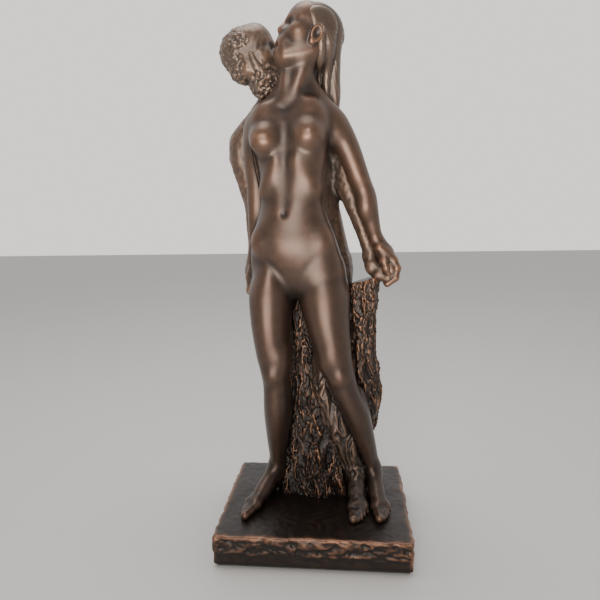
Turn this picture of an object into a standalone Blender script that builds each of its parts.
"""Patinated figure group: a standing woman embraced from behind by a man, with a tree trunk, on a plinth.

The group is cast in sections. Each section is one closed solid, dowelled to its neighbour, and the feet and
the trunk are held to the plinth by threaded studs with a washer and a nut in a counterbore underneath.
Metres, +Z up, front towards -Y, origin at the middle of the underside of the felt pad.
"""
import math

import bmesh
import bpy
from mathutils import Vector

# ---------------------------------------------------------------- driving dimensions, in metres
PLINTH_WIDTH = 0.181
PLINTH_DEPTH = 0.145
PLINTH_HEIGHT = 0.0294
PLINTH_EDGE = 0.0025          # rounding of the plinth's edges
FELT_THICKNESS = 0.0015
FELT_INSET = 0.004            # from the plinth's side to the felt's edge
FIGURE_HEIGHT = 0.467         # plinth top to the crown of the woman's hair
CLEARANCE = 0.0003            # gap between touching sections

NECK_PIN_DIAMETER = 0.006
SHOULDER_PIN_DIAMETER = 0.005
HIP_PIN_DIAMETER = 0.007
WRIST_PIN_DIAMETER = 0.0025
FOOT_STUD_DIAMETER = 0.004
TRUNK_STUD_DIAMETER = 0.008
WASHER_THICKNESS = 0.001
COUNTERBORE_MARGIN = 0.001    # between the washer's rim and the counterbore's wall
COUNTERBORE_ROOM = 0.0015     # between the end of the stud and the plinth's underside
NUT_START = 0.15              # stud left below the nut, and the sizes of nut and washer, in stud diameters
NUT_HEIGHT = 0.8
NUT_RADIUS = 0.92
WASHER_RADIUS = 1.1

# ---------------------------------------------------------------- values that follow from them
DRAWN_HEIGHT = 467.0          # the stations below are drawn for a figure this high, in millimetres
K = FIGURE_HEIGHT / DRAWN_HEIGHT
PLINTH_BOTTOM = FELT_THICKNESS + CLEARANCE
PLINTH_TOP = PLINTH_BOTTOM + PLINTH_HEIGHT

COLLECTION_NAME = "embracing_figures"
SIDES_BODY = 18
SIDES_LIMB = 12
SIDES_SMALL = 10
SIDES_ROUND = 10


def clear_scene():
    for item in list(bpy.data.objects):
        bpy.data.objects.remove(item, do_unlink=True)


def new_collection(name):
    collection = bpy.data.collections.new(name)
    bpy.context.scene.collection.children.link(collection)
    return collection


def patina(name, colour, roughness, metallic):
    material = bpy.data.materials.new(name)
    material.use_nodes = True
    shader = material.node_tree.nodes["Principled BSDF"]
    shader.inputs["Base Color"].default_value = (*colour, 1.0)
    shader.inputs["Roughness"].default_value = roughness
    shader.inputs["Metallic"].default_value = metallic
    return material


# ---------------------------------------------------------------- placing and shaping
def at(x, y, h):
    """A point of the drawn group: x and y on the plinth, h above its top, in drawn millimetres."""
    return Vector((x * K, y * K, PLINTH_TOP + h * K))


def spline(a, b, c, d, t):
    """Catmull-Rom value between b and c."""
    return 0.5 * (2 * b + (c - a) * t + (2 * a - 5 * b + 4 * c - d) * t * t + (3 * b - a - 3 * c + d) * t ** 3)


def resample(stations, steps):
    """Smooth stations: each gap between two of them is divided into the given number of steps."""
    last = len(stations) - 1
    result = []
    for index in range(last):
        four = [stations[min(max(index + shift, 0), last)] for shift in (-1, 0, 1, 2)]
        for step in range(steps):
            result.append(tuple(spline(*values, step / steps) for values in zip(*four)))
    result.append(tuple(stations[last]))
    return result


def ring_frames(centres, level, turn):
    """The two axes of each ring: level rings stay horizontal, the others stand square to the path."""
    side = Vector((math.cos(turn), math.sin(turn), 0.0))
    frames = []
    for index, _ in enumerate(centres):
        if level:
            frames.append((side, Vector((-side.y, side.x, 0.0))))
            continue
        along = (centres[min(index + 1, len(centres) - 1)] - centres[max(index - 1, 0)]).normalized()
        across = (side - along * side.dot(along)).normalized()
        frames.append((across, across.cross(along)))
    return frames


def loft(stations, sides, steps=1, level=True, turn=0.0, swells=()):
    """A closed form through rings. A station is (x, y, h, half width, half depth) or, with a different front
    and back, (x, y, h, half width, front depth, back depth). A swell is (x, y, h, radius, rise)."""
    rings = resample([s if len(s) == 6 else (*s, s[4]) for s in stations], steps)
    centres = [at(*ring[:3]) for ring in rings]
    frames = ring_frames(centres, level, math.radians(turn))
    mesh = bmesh.new()
    loops = []
    for ring, centre, (across, deep) in zip(rings, centres, frames):
        width, front, back = (value * K for value in ring[3:])
        loop = []
        for index in range(sides):
            angle = 2 * math.pi * index / sides
            depth = back if math.sin(angle) > 0 else front
            offset = across * (width * math.cos(angle)) + deep * (depth * math.sin(angle))
            point = centre + offset
            for x, y, h, radius, rise in swells:
                away = (point - at(x, y, h)).length / (radius * K)
                point = point + offset.normalized() * (rise * K * math.exp(-away * away))
            loop.append(mesh.verts.new(point))
        loops.append(loop)
    for lower, upper in zip(loops, loops[1:]):
        for index in range(sides):
            after = (index + 1) % sides
            mesh.faces.new((lower[index], lower[after], upper[after], upper[index]))
    mesh.faces.new(loops[0][::-1])
    mesh.faces.new(loops[-1])
    bmesh.ops.recalc_face_normals(mesh, faces=mesh.faces)
    return mesh


def turned_point(centre, facing, tilt, forward, side, up):
    """A point of a head: facing is the heading to the left of the front, tilt is how far it looks up."""
    heading = Vector((-math.sin(facing), -math.cos(facing), 0.0))
    left = Vector((math.cos(facing), -math.sin(facing), 0.0))
    look = heading * math.cos(tilt) + Vector((0, 0, math.sin(tilt)))
    crown = Vector((0, 0, math.cos(tilt))) - heading * math.sin(tilt)
    return centre + (look * forward + left * side + crown * up) * K


def head_form(centre, facing, tilt, levels, sides=SIDES_LIMB, steps=1):
    """A head as rings stacked from chin to crown: each level is (up, forward, half length, half width)."""
    mesh = bmesh.new()
    loops = []
    for up, forward, length, width in resample(levels, steps):
        loop = []
        for index in range(sides):
            angle = 2 * math.pi * index / sides
            loop.append(mesh.verts.new(turned_point(centre, facing, tilt, forward + length * math.cos(angle),
                                                    width * math.sin(angle), up)))
        loops.append(loop)
    for lower, upper in zip(loops, loops[1:]):
        for index in range(sides):
            after = (index + 1) % sides
            mesh.faces.new((lower[index], lower[after], upper[after], upper[index]))
    mesh.faces.new(loops[0][::-1])
    mesh.faces.new(loops[-1])
    bmesh.ops.recalc_face_normals(mesh, faces=mesh.faces)
    return mesh


def rod(start, end, radius, sides=SIDES_ROUND):
    """A round bar between two points."""
    mesh = bmesh.new()
    axis = end - start
    spin = axis.to_track_quat("Z", "Y").to_matrix().to_4x4()
    spin.translation = (start + end) / 2
    bmesh.ops.create_cone(mesh, cap_ends=True, segments=sides, radius1=radius, radius2=radius,
                          depth=axis.length, matrix=spin)
    return mesh


def block(width, depth, bottom, top, edge):
    """A block standing on the origin's axis, with rounded edges."""
    mesh = bmesh.new()
    bmesh.ops.create_cube(mesh, size=1.0)
    for vertex in mesh.verts:
        vertex.co = Vector((vertex.co.x * width, vertex.co.y * depth, bottom + (vertex.co.z + 0.5) * (top - bottom)))
    bmesh.ops.bevel(mesh, geom=list(mesh.edges), offset=edge, segments=2, affect="EDGES", profile=0.5)
    return mesh


# ---------------------------------------------------------------- the sections
class Group:
    """Builds the sections in order. Each one is cut back, with a clearance, from those built before it."""

    def __init__(self):
        self.parts = new_collection(COLLECTION_NAME)
        self.cutters = new_collection("cutters")
        self.made = []

    def link(self, name, form, collection):
        mesh = bpy.data.meshes.new(name)
        form.to_mesh(mesh)
        item = bpy.data.objects.new(name, mesh)
        collection.objects.link(item)
        return item

    def cutter(self, name, form, growth):
        grown = form.copy()
        grown.normal_update()
        for vertex, normal in [(v, v.normal.copy()) for v in grown.verts]:
            vertex.co += normal * growth
        item = self.link(name, grown, self.cutters)
        item.hide_render = True
        item.display_type = "WIRE"
        grown.free()
        return item

    def add(self, name, forms, material, extra=(), solver="EXACT"):
        """Adds a section made of overlapping forms, with any extra cuts."""
        item = self.link(name, forms[0], self.parts)
        pieces = [item] + [self.cutter(f"{name}_form_{index}", form, 0.0) for index, form in enumerate(forms[1:])]
        for piece in pieces[1:]:
            self.combine(item, piece, "UNION", solver)
        for tool in self.made:
            if any(boxes_meet(piece, tool) for piece in pieces):
                self.combine(item, tool, "DIFFERENCE", solver)
        for index, form in enumerate(extra):
            self.combine(item, self.cutter(f"{name}_cut_{index}", form, 0.0), "DIFFERENCE", solver)
        settle(item)
        item.data.materials.append(material)
        item.data.shade_smooth()
        item.data.set_sharp_from_angle(angle=math.radians(40))
        for index, form in enumerate(forms):
            self.made.append(self.cutter(f"{name}_room_{index}", form, CLEARANCE))
        return item

    def combine(self, item, tool, operation, solver="EXACT"):
        boolean = item.modifiers.new(tool.name, "BOOLEAN")
        boolean.object = tool
        boolean.operation = operation
        boolean.solver = solver


def boxes_meet(one, other):
    corners = [[Vector(corner) for corner in item.bound_box] for item in (one, other)]
    low = [Vector(map(min, *points)) for points in corners]
    high = [Vector(map(max, *points)) for points in corners]
    return all(low[0][i] <= high[1][i] and low[1][i] <= high[0][i] for i in range(3))


def settle(item):
    """Applies the cuts and keeps the largest solid, without the crumbs that a cut can leave beside it."""
    bpy.context.view_layer.update()
    evaluated = item.evaluated_get(bpy.context.evaluated_depsgraph_get())
    mesh = bpy.data.meshes.new_from_object(evaluated)
    item.modifiers.clear()
    item.data = mesh
    mesh.name = item.name
    form = bmesh.new()
    form.from_mesh(mesh)
    bmesh.ops.remove_doubles(form, verts=form.verts, dist=1e-6)
    bmesh.ops.dissolve_degenerate(form, edges=form.edges, dist=1e-6)
    solids = sorted(islands(form), key=lambda faces: -volume(faces))
    for faces in solids[1:]:
        bmesh.ops.delete(form, geom=faces, context="FACES")
    bmesh.ops.triangulate(form, faces=form.faces)
    form.to_mesh(mesh)
    form.free()


def islands(form):
    """Lists of faces that hang together."""
    waiting = set(form.faces)
    result = []
    while waiting:
        stack = [waiting.pop()]
        island = []
        while stack:
            face = stack.pop()
            island.append(face)
            for edge in face.edges:
                for other in edge.link_faces:
                    if other in waiting:
                        waiting.remove(other)
                        stack.append(other)
        result.append(island)
    return result


def volume(faces):
    total = 0.0
    for face in faces:
        corners = [vertex.co for vertex in face.verts]
        for second, third in zip(corners[1:], corners[2:]):
            total += corners[0].dot(second.cross(third)) / 6
    return abs(total)


# ---------------------------------------------------------------- places that several sections share
WOMAN_ANKLES = {"right": (-41.0, 13.5), "left": (58.0, 14.5)}
MAN_ANKLES = {"right": (-44.0, 54.0), "left": (42.0, 7.0)}
TRUNK_STUD_PLACE = (-2.0, 33.0)
LIMB_STUD_PLACE = (34.0, 37.0)
STUD_REACH = {"woman_right_foot": 48, "woman_left_foot": 36, "man_right_foot": 48, "man_left_foot": 30,
              "trunk": 90, "limb": 26}     # above the plinth's top
WOMAN_FACING = math.radians(68)
WOMAN_TILT = math.radians(27)
MAN_FACING = math.radians(-88)
MAN_TILT = math.radians(18)
WOMAN_HEAD = at(-2.0, 2.0, 436.0)
MAN_HEAD = at(-57.0, 23.0, 428.0)

WOMAN_SKULL = [(-31, 14, 7, 7), (-27, 11, 14, 12), (-15, 4, 22.5, 17), (-2, 0, 26, 20.5), (11, -1, 27, 21.5),
               (22, -2, 21, 17), (28, -3, 10, 8)]
MAN_SKULL = [(-31, 12, 7, 7), (-27, 9, 14, 12), (-15, 3, 22, 17), (-2, 0, 25.5, 20), (11, -1, 26, 21),
             (21, -2, 21, 17), (27, -3, 10, 8)]


def pins(group, steel):
    """Dowels between the cast sections, in drawn millimetres, which every later section is drilled for."""
    dowels = {
        "woman_neck_pin": ((-18, 2, 374), (-17, 2, 402), NECK_PIN_DIAMETER),
        "man_neck_pin": ((-35, 41, 372), (-47, 36, 402), NECK_PIN_DIAMETER),
        "woman_left_shoulder_pin": ((2, 4, 366), (25, 6, 362), SHOULDER_PIN_DIAMETER),
        "woman_right_shoulder_pin": ((-38, 4, 366), (-56, 8, 360), SHOULDER_PIN_DIAMETER),
        "man_left_shoulder_pin": ((6, 44, 362), (30, 43, 356), SHOULDER_PIN_DIAMETER),
        "man_right_shoulder_pin": ((-48, 42, 364), (-72, 38, 355), SHOULDER_PIN_DIAMETER),
        "woman_left_hip_pin": ((6, 6, 238), (11, 3, 190), HIP_PIN_DIAMETER),
        "woman_right_hip_pin": ((-38, 6, 238), (-42, 4, 190), HIP_PIN_DIAMETER),
        "man_left_hip_pin": ((14, 46, 240), (14, 40, 190), HIP_PIN_DIAMETER),
        "man_right_hip_pin": ((-30, 48, 240), (-39, 48, 190), HIP_PIN_DIAMETER),
        "woman_left_wrist_pin": ((58, 22.4, 264), (65, 24.8, 248), WRIST_PIN_DIAMETER),
        "woman_right_wrist_pin": ((-57.5, 23.5, 262), (-59.5, 26, 240), WRIST_PIN_DIAMETER),
        "man_left_wrist_pin": ((47.5, 31, 252), (55, 30.5, 232), WRIST_PIN_DIAMETER),
        "man_right_wrist_pin": ((-59, 35, 254), (-61, 33.6, 232), WRIST_PIN_DIAMETER),
    }
    for name, (start, end, diameter) in dowels.items():
        group.add(name, [rod(at(*start), at(*end), diameter / 2)], steel)


def studs(group, steel):
    """Threaded studs that stand in the plinth; returns each one's name, foot and diameter."""
    places = {f"woman_{side}_foot": (*place, FOOT_STUD_DIAMETER) for side, place in WOMAN_ANKLES.items()}
    places.update({f"man_{side}_foot": (*place, FOOT_STUD_DIAMETER) for side, place in MAN_ANKLES.items()})
    places["trunk"] = (*TRUNK_STUD_PLACE, TRUNK_STUD_DIAMETER)
    places["limb"] = (*LIMB_STUD_PLACE, TRUNK_STUD_DIAMETER)
    seats = []
    for name, (x, y, diameter) in places.items():
        foot_end = Vector((x * K, y * K, PLINTH_BOTTOM + COUNTERBORE_ROOM))
        group.add(f"{name}_stud", [rod(foot_end, at(x, y, STUD_REACH[name]), diameter / 2)], steel)
        seats.append((name, foot_end, diameter))
    return seats


def fasteners(group, seats, steel, brass):
    """A nut under a washer on each stud; returns the counterbores that the plinth needs for them."""
    bores = []
    for name, foot_end, diameter in seats:
        nut_bottom = foot_end.z + NUT_START * diameter
        nut_top = nut_bottom + NUT_HEIGHT * diameter
        washer_bottom = nut_top + CLEARANCE
        washer_top = washer_bottom + WASHER_THICKNESS
        washer_radius = WASHER_RADIUS * diameter
        hole = diameter / 2 + CLEARANCE
        pieces = ((f"{name}_nut", collar(foot_end, nut_bottom, nut_top, NUT_RADIUS * diameter, hole, 6), brass),
                  (f"{name}_washer", collar(foot_end, washer_bottom, washer_top, washer_radius, hole, SIDES_ROUND),
                   steel))
        for piece, form, material in pieces:
            item = group.link(piece, form, group.parts)
            item.data.materials.append(material)
        below = Vector((foot_end.x, foot_end.y, 0.0))
        above = Vector((foot_end.x, foot_end.y, washer_top + CLEARANCE))
        bores.append(rod(below, above, washer_radius + COUNTERBORE_MARGIN))
    return bores


def collar(foot, bottom, top, radius, hole, sides):
    """A ring of the given number of sides round a stud; the flats of its hole stay clear of the stud."""
    mesh = bmesh.new()
    loops = []
    hole = hole / math.cos(math.pi / sides)
    for height, reach in ((bottom, radius), (top, radius), (top, hole), (bottom, hole)):
        loops.append([mesh.verts.new((foot.x + reach * math.cos(2 * math.pi * i / sides),
                                      foot.y + reach * math.sin(2 * math.pi * i / sides), height))
                      for i in range(sides)])
    for one, two in zip(loops, loops[1:] + loops[:1]):
        for index in range(sides):
            after = (index + 1) % sides
            mesh.faces.new((one[index], one[after], two[after], two[index]))
    bmesh.ops.recalc_face_normals(mesh, faces=mesh.faces)
    return mesh


def base(group, bores, stone, felt):
    pad = block(PLINTH_WIDTH - 2 * FELT_INSET, PLINTH_DEPTH - 2 * FELT_INSET, 0.0, FELT_THICKNESS,
                FELT_THICKNESS / 4)
    group.add("felt_pad", [pad], felt)
    group.add("plinth", [block(PLINTH_WIDTH, PLINTH_DEPTH, PLINTH_BOTTOM, PLINTH_TOP, PLINTH_EDGE)], stone,
              extra=bores)


def foot(toe, heel, ankle, width, tall):
    """A foot from heel to toes, with the ankle standing on it. Its sole is cut level by the plinth."""
    (toe_x, toe_y), (heel_x, heel_y) = toe, heel
    length = math.hypot(toe_x - heel_x, toe_y - heel_y)
    ahead = ((toe_x - heel_x) / length, (toe_y - heel_y) / length)
    turn = math.degrees(math.atan2(ahead[1], ahead[0])) + 90
    outline = [(0.00, 0.30, 0.28, 0.55), (0.08, 0.72, 0.40, 0.90), (0.25, 0.78, 0.55, 1.40),
               (0.50, 0.82, 0.45, 1.15), (0.75, 1.00, 0.30, 0.72), (0.92, 0.92, 0.20, 0.42),
               (1.00, 0.60, 0.14, 0.22)]
    stations = []
    for share, broad, centre, thick in outline:
        reach = share * length
        stations.append((heel_x + ahead[0] * reach, heel_y + ahead[1] * reach, tall * centre * 0.6,
                         width * broad, tall * thick * 0.6))
    sole = loft(stations, SIDES_SMALL, level=False, turn=turn)
    ankle_x, ankle_y, ankle_h, ankle_width, ankle_depth = ankle
    ankle_form = loft([(ankle_x, ankle_y, 4, ankle_width, ankle_depth),
                       (ankle_x, ankle_y, ankle_h, ankle_width, ankle_depth)], SIDES_SMALL, steps=1)
    return [sole, ankle_form]


def woman(group, skin, hair):
    torso = [(-18, 7, 205, 9, 8, 10), (-16, 6, 213, 30, 17, 24), (-15, 5, 226, 44, 24, 32),
             (-17, 4, 242, 44.5, 25, 32), (-18, 2, 259, 40.5, 24, 27), (-18.8, 0, 278, 34, 22, 21),
             (-18.9, -2, 296, 28.8, 19, 19), (-18.2, -3, 314, 30, 20, 21), (-18.2, -3, 332, 32.5, 21, 23),
             (-19, -3, 350, 35, 22, 24), (-18.5, -1, 363, 36.5, 21, 23), (-17, 1, 374, 34, 19, 21),
             (-17, 2, 382, 25, 16, 18), (-18, 3, 389, 15, 13, 14)]
    swells = [(-48, -22, 355, 13, 7), (-7, -26, 357, 13, 7), (-34, 30, 232, 20, 6), (6, 32, 232, 20, 6)]
    group.add("woman_torso", [loft(torso, SIDES_BODY, steps=2, turn=-10, swells=swells)], skin)

    neck = [(-17, 3, 389.8, 13.5, 13), (-15, 2, 402, 12.5, 12.5), (-9, 3, 416, 12.5, 12.5), (-4, 4, 430, 11, 11)]
    group.add("woman_head", [head_form(WOMAN_HEAD, WOMAN_FACING, WOMAN_TILT, WOMAN_SKULL),
                             loft(neck, SIDES_LIMB, level=False)], skin)

    fall = [(2, 8, 452, 18, 15), (13, 11, 438, 15, 15), (15, 14, 420, 12, 12), (13, 18, 404, 12.5, 10),
            (14, 21, 388, 13, 9), (14, 24, 370, 10, 6)]
    cap = [(-14, -10, 16, 17), (-6, -9, 21.5, 22), (6, -8, 24.5, 24.5), (16, -7, 24.5, 23),
           (26, -6, 19, 17), (32, -6, 8, 7)]
    group.add("woman_hair", [head_form(WOMAN_HEAD, WOMAN_FACING, WOMAN_TILT, cap),
                             loft(fall, SIDES_LIMB, level=False)], hair)

    left_arm = [(14, 4, 371, 12, 12), (23, 6, 365, 12.5, 12.5), (33, 8, 343, 11, 11.5), (42, 11, 319, 10.4, 10.6),
                (50, 16, 299, 9.6, 9.8), (55.5, 20.5, 272, 8.4, 8.8), (60, 23.5, 258.5, 6.2, 7)]
    right_arm = [(-46, 4, 371, 11.5, 12), (-52.5, 7, 363, 12, 12), (-54, 11, 340, 11, 11.5),
                 (-54, 16, 312, 10, 10.5), (-55, 20, 293, 9.5, 10), (-57, 23, 268, 8, 8.5),
                 (-58.4, 24.6, 252.5, 6.3, 7)]
    group.add("woman_left_arm", [loft(left_arm, SIDES_LIMB, level=False)], skin)
    group.add("woman_right_arm", [loft(right_arm, SIDES_LIMB, level=False)], skin)
    left_hand = [(60.2, 23.6, 258, 6.2, 7), (66, 25, 247, 8.5, 8), (72, 26, 236, 10.5, 9.5),
                 (74, 26.5, 224, 9.5, 9), (70, 26.5, 214, 6, 6.5)]
    right_hand = [(-58.5, 24.7, 252, 6.3, 7), (-60, 26, 240, 7, 8.5), (-60.5, 27, 226, 8, 9), (-60, 27.5, 212, 7, 8),
                  (-59, 27.5, 204, 4.5, 5)]
    group.add("woman_left_hand", [loft(left_hand, SIDES_SMALL, level=False)], skin)
    group.add("woman_right_hand", [loft(right_hand, SIDES_SMALL, level=False)], skin)

    right_leg = [(-37, 6, 238, 16, 20), (-41, 5, 213, 20.5, 27), (-41.7, 3, 182, 19.4, 25), (-39.9, 0, 146, 17, 20),
                 (-37.2, -1, 113, 13, 15.5), (-38, 3, 88, 12.8, 15.5), (-38.8, 8, 62, 11.2, 13.5),
                 (-39.8, 12, 34, 9, 9.5), (-40.6, 13.5, 20, 8.6, 9.5)]
    left_leg = [(7, 6, 238, 20, 20), (9.5, 5, 213, 24.5, 27), (12.2, 2, 182, 22, 25), (19, -2, 146, 17.5, 20),
                (29, -2, 113, 15, 15.5), (39.5, 3, 88, 14.5, 15.5), (46.5, 8, 62, 12.5, 13.5),
                (55, 12.5, 34, 8.8, 9.3), (57.6, 14, 20, 7.6, 9)]
    group.add("woman_right_leg", [loft(right_leg, SIDES_LIMB)], skin)
    group.add("woman_left_leg", [loft(left_leg, SIDES_LIMB)], skin)
    group.add("woman_right_foot", foot((-64, -42), (-38, 25), (-40.8, 13.5, 20, 8.3, 9), 12, 17), skin)
    group.add("woman_left_foot", foot((67, -43), (58, 27), (57.8, 14, 20, 7.8, 9), 12, 17), skin)


def man(group, skin, hair):
    torso = [(-8, 48, 205, 14, 10, 11), (-6, 47, 214, 38, 20, 21), (-5, 47, 230, 42, 22, 22.5),
             (-7, 46, 248, 41, 21, 21.5), (-9, 45, 272, 38, 20, 20), (-13, 44, 300, 35.5, 20, 20),
             (-17, 43, 326, 39, 22, 22), (-21, 43, 350, 42, 23, 23), (-23, 43, 364, 41, 20, 21),
             (-28, 42, 377, 31, 16, 18), (-33, 41, 388, 19, 13, 15)]
    swells = [(-26, 68, 226, 18, 3), (16, 68, 226, 18, 3)]
    group.add("man_torso", [loft(torso, SIDES_BODY, turn=-4, swells=swells)], skin)

    neck = [(-33.4, 40.8, 389, 17, 14), (-41, 38, 402, 15, 14), (-50, 34, 414, 14, 14), (-56, 29, 426, 13, 13)]
    group.add("man_head", [head_form(MAN_HEAD, MAN_FACING, MAN_TILT, MAN_SKULL),
                           loft(neck, SIDES_LIMB, level=False)], skin)
    cap = [(-16, -8, 17, 18), (-6, -7, 22, 23), (6, -6, 24.5, 24.5), (16, -5, 25, 24), (25, -4, 20, 18.5),
           (31, -4, 9, 8)]
    group.add("man_hair", [head_form(MAN_HEAD, MAN_FACING, MAN_TILT, cap)], hair)
    beard = [(-39, 6, 8, 9), (-33, 6, 16, 15), (-24, 5, 21, 18), (-14, 6, 21, 18.5), (-8, 6, 14, 15)]
    group.add("man_beard", [head_form(MAN_HEAD, MAN_FACING, MAN_TILT, beard)], hair)

    left_arm = [(16, 45, 366, 13, 13), (25, 44, 358, 13.5, 13), (28, 40, 336, 11.5, 12), (31, 36, 312, 10.5, 11),
                (37, 33, 290, 10, 10), (45, 31.5, 262, 9, 9), (51.5, 30.5, 241, 7, 7.5)]
    right_arm = [(-60, 41, 369, 13, 13), (-70, 39, 358, 13.5, 13.5), (-71.5, 37, 342, 13, 13),
                 (-66, 36, 318, 11.3, 11.5), (-60, 36, 296, 10, 10.5), (-59, 35.5, 268, 9, 9.5),
                 (-60, 34.5, 244, 7, 7.5)]
    group.add("man_left_arm", [loft(left_arm, SIDES_LIMB, level=False)], skin)
    group.add("man_right_arm", [loft(right_arm, SIDES_LIMB, level=False)], skin)
    left_hand = [(51.7, 30.4, 240.3, 7, 7), (55, 30, 230, 8, 8.5), (61, 31, 222, 8, 8.5), (68.5, 32, 219, 7, 7.5),
                 (75, 33.5, 221, 4.5, 5)]
    right_hand = [(-60, 34.4, 243.4, 7, 7.5), (-63, 34, 232, 8.5, 8.5), (-64, 34, 220, 9, 9), (-62, 33, 209, 7.5, 8),
                  (-59, 32, 202, 5, 5)]
    group.add("man_left_hand", [loft(left_hand, SIDES_SMALL, level=False, turn=90)], skin)
    group.add("man_right_hand", [loft(right_hand, SIDES_SMALL, level=False)], skin)

    right_leg = [(-28, 48, 238, 17, 19), (-35, 48, 210, 19, 23), (-40, 48, 182, 17.5, 21), (-43, 46, 148, 15, 18),
                 (-44, 45, 113, 12.5, 14.5), (-44, 49, 86, 12, 15), (-44, 52, 56, 10.3, 12), (-44, 54, 22, 8, 9)]
    left_leg = [(15, 46, 238, 19, 19), (16, 44, 210, 21, 23), (14, 37, 182, 19, 21), (11, 26, 148, 16, 18),
                (11, 15, 113, 13.5, 14.5), (19, 10, 86, 13, 14), (30, 7, 56, 11.5, 12), (41, 7, 22, 8.5, 9)]
    group.add("man_right_leg", [loft(right_leg, SIDES_LIMB)], skin)
    group.add("man_left_leg", [loft(left_leg, SIDES_LIMB)], skin)
    group.add("man_right_foot", foot((-46, 26), (-44, 67), (-44, 54, 21.5, 8, 9), 10.5, 17), skin)
    group.add("man_left_foot", foot((43, -45), (43, 24), (41.8, 7, 21.5, 8.3, 9), 12, 18), skin)


def tree(group, bark):
    trunk = [(3, 28, -4, 38.5, 25), (1, 29, 20, 35, 24.5), (-3, 31, 70, 31, 22), (-6, 33, 120, 24, 18),
             (-10, 33, 165, 18, 14), (-13, 32, 200, 12, 11)]
    # the exact solver loses the trunk among the many cutters that cross in it
    group.add("tree_trunk", [loft(trunk, SIDES_LIMB)], bark, solver="MANIFOLD")
    limb = [(28, 42, -4, 20, 16), (34, 39, 34, 19, 15), (45, 33, 66, 19.5, 14), (49, 31.5, 101, 19, 13),
            (45, 31, 140, 16.5, 12.5), (44, 31, 177, 15, 12), (47, 31, 205, 14.5, 12), (50, 31, 221, 11, 10)]
    group.add("trunk_limb", [loft(limb, SIDES_LIMB)], bark)


def main():
    clear_scene()
    group = Group()
    steel = patina("zinc_steel", (0.55, 0.55, 0.56), 0.35, 1.0)
    brass = patina("brass", (0.72, 0.52, 0.22), 0.35, 1.0)
    felt = patina("dark_felt", (0.03, 0.05, 0.04), 0.95, 0.0)
    skin = patina("smooth_patina", (0.09, 0.05, 0.035), 0.38, 0.6)
    rough = patina("mottled_patina", (0.08, 0.045, 0.03), 0.5, 0.5)
    hair = patina("hair_patina", (0.07, 0.04, 0.028), 0.45, 0.55)
    bark = patina("bark_patina", (0.12, 0.065, 0.04), 0.55, 0.5)
    stone = patina("plinth_patina", (0.045, 0.035, 0.03), 0.5, 0.3)
    pins(group, steel)
    bores = fasteners(group, studs(group, steel), steel, brass)
    base(group, bores, stone, felt)
    woman(group, skin, hair)
    man(group, rough, hair)
    tree(group, bark)


main()
